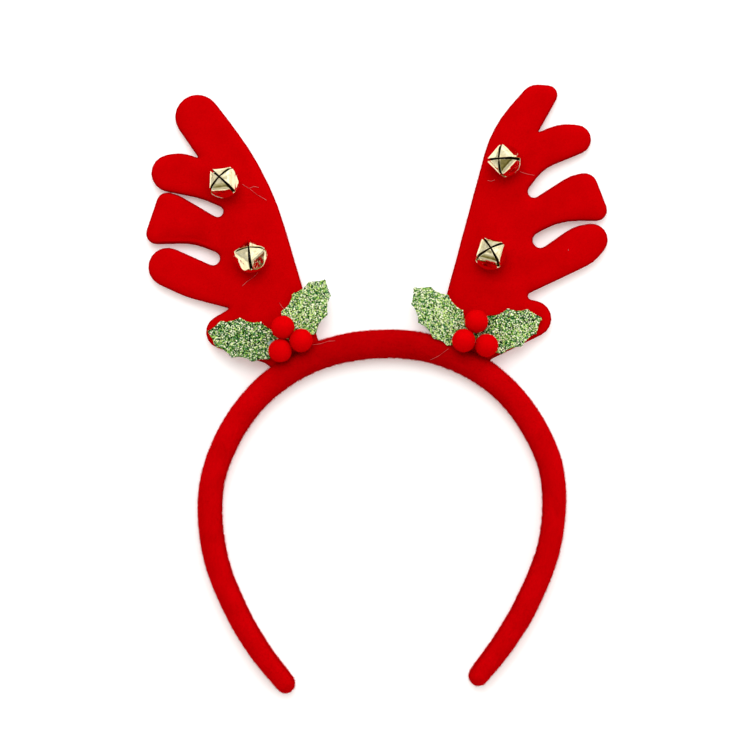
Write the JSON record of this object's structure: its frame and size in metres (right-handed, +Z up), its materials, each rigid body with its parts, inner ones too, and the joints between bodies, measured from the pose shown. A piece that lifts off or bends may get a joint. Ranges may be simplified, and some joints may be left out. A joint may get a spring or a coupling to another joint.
{
  "type": "christmas antler headband",
  "caption": "Padded felt headband for dressing up, with felt antlers, slotted jingle bells, glitter holly leaves and felt berries.",
  "frame": {"origin": "middle of the box round the whole headband, on the surface that it lies on", "axes": "+X across the headband from the left antler to the right one, +Y from the tips of the band towards the antlers, +Z up from the surface"},
  "size_m": [0.1819, 0.24, 0.0217],
  "materials": {
    "band_felt": "matte",
    "antler_felt": "matte",
    "bell_gold": "polished",
    "pellet_steel": "satin",
    "leaf_glitter": "satin",
    "berry_felt": "matte"
  },
  "bodies": {
    "root": {"headband": "band_felt", "antler_left": "antler_felt", "antler_right": "antler_felt", "bell_shell_left_upper": "bell_gold", "bell_shell_left_lower": "bell_gold", "bell_shell_right_upper": "bell_gold", "bell_shell_right_lower": "bell_gold", "bell_pellet_left_upper": "pellet_steel", "bell_pellet_left_lower": "pellet_steel", "bell_pellet_right_upper": "pellet_steel", "bell_pellet_right_lower": "pellet_steel", "leaf_left_outer": "leaf_glitter", "leaf_left_inner": "leaf_glitter", "leaf_right_inner": "leaf_glitter", "leaf_right_outer": "leaf_glitter", "berry_left_top": "berry_felt", "berry_left_inner": "berry_felt", "berry_left_outer": "berry_felt", "berry_right_top": "berry_felt", "berry_right_inner": "berry_felt", "berry_right_outer": "berry_felt"}
  },
  "joints": []
}
